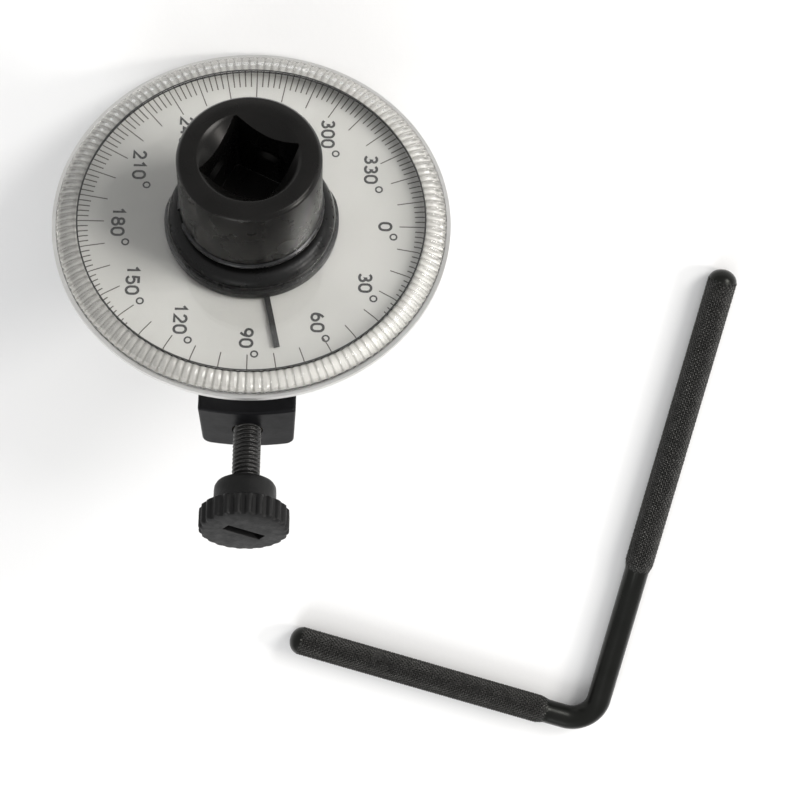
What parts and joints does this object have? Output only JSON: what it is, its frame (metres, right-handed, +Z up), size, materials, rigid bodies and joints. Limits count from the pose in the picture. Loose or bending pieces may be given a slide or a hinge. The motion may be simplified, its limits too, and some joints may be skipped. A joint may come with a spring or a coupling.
{
  "type": "goniometer",
  "caption": "Torque angle gauge: degree dial under a clear turning cap, square drive through its centre, thumb-screw rod clamp and a loose bent rod.",
  "frame": {"origin": "centre of the footprint on the bench, at bench level", "axes": "+Z up from the bench; the dial leans back and faces -Y, 0 degrees on the dial towards -X; the bent rod lies flat on the -X side"},
  "size_m": [0.1252, 0.1338, 0.06],
  "materials": {
    "black_steel": "black oxide, slightly glossy",
    "spring_steel": "satin, dark",
    "ball_steel": "polished",
    "clear_acrylic": "clear, polished",
    "dial_metal": "satin, printed",
    "base_metal": "satin",
    "black_plastic": "matte, fine grain",
    "pointer_black": "matte black",
    "bronze": "sintered",
    "brass": "turned",
    "zinc_steel": "zinc plated",
    "rod_steel": "black oxide, knurled",
    "rubber": "matte"
  },
  "bodies": {
    "housing": {"base_plate": "base_metal", "dial_plate": "dial_metal", "clamp_body": "black_plastic", "spindle_bushing": "bronze", "upper_washer": "spring_steel", "lower_washer": "spring_steel", "thread_insert": "brass", "housing_screws": "zinc_steel"},
    "spindle": {"drive_spindle": "black_steel", "retaining_ring": "spring_steel", "circlip": "spring_steel", "friction_ring": "rubber", "detent_spring": "spring_steel"},
    "pointer_cap": {"clear_bezel": "clear_acrylic", "hub_collar": "black_plastic", "pointer": "pointer_black"},
    "detent": {"detent_ball": "ball_steel"},
    "clamp_pad": {"pressure_pad": "brass"},
    "clamp_screw": {"thumb_screw": "black_steel", "thumb_knob": "black_plastic"},
    "rod": {"reaction_rod": "rod_steel"}
  },
  "joints": [
    {"name": "spindle_turn", "type": "hinge", "parent": "housing", "child": "spindle", "pos_m": [0.02759, -0.04208, 0.02543], "axis": [0, -0.7239, 0.6899], "continuous": true},
    {"name": "pointer_set", "type": "hinge", "parent": "spindle", "child": "pointer_cap", "pos_m": [0.02759, -0.04208, 0.02543], "axis": [0, -0.7239, 0.6899], "continuous": true},
    {"name": "detent_press", "type": "slide", "parent": "spindle", "child": "detent", "axis": [1, 0, 0], "range_m": [0, 0.00095], "stiffness_N_per_m": 800, "springref_m": -0.002, "deforming": ["detent_spring"]},
    {"name": "pad_travel", "type": "slide", "parent": "housing", "child": "clamp_pad", "axis": [0, -0.6899, -0.7239], "range_m": [-0.0006, 0.0049]},
    {"name": "thumb_screw_turn", "type": "hinge", "parent": "clamp_pad", "child": "clamp_screw", "pos_m": [0.02759, -0.00178, 0.04822], "axis": [0, -0.6899, -0.7239], "range_deg": [-271, 2206]},
    {"name": "rod_lift", "type": "slide", "parent": "housing", "child": "rod", "axis": [0, 0, 1], "range_m": [0, 0.1]}
  ],
  "couplings": [
    {"joint": "thumb_screw_turn", "follows": "pad_travel", "rad_per_m": 7854}
  ]
}
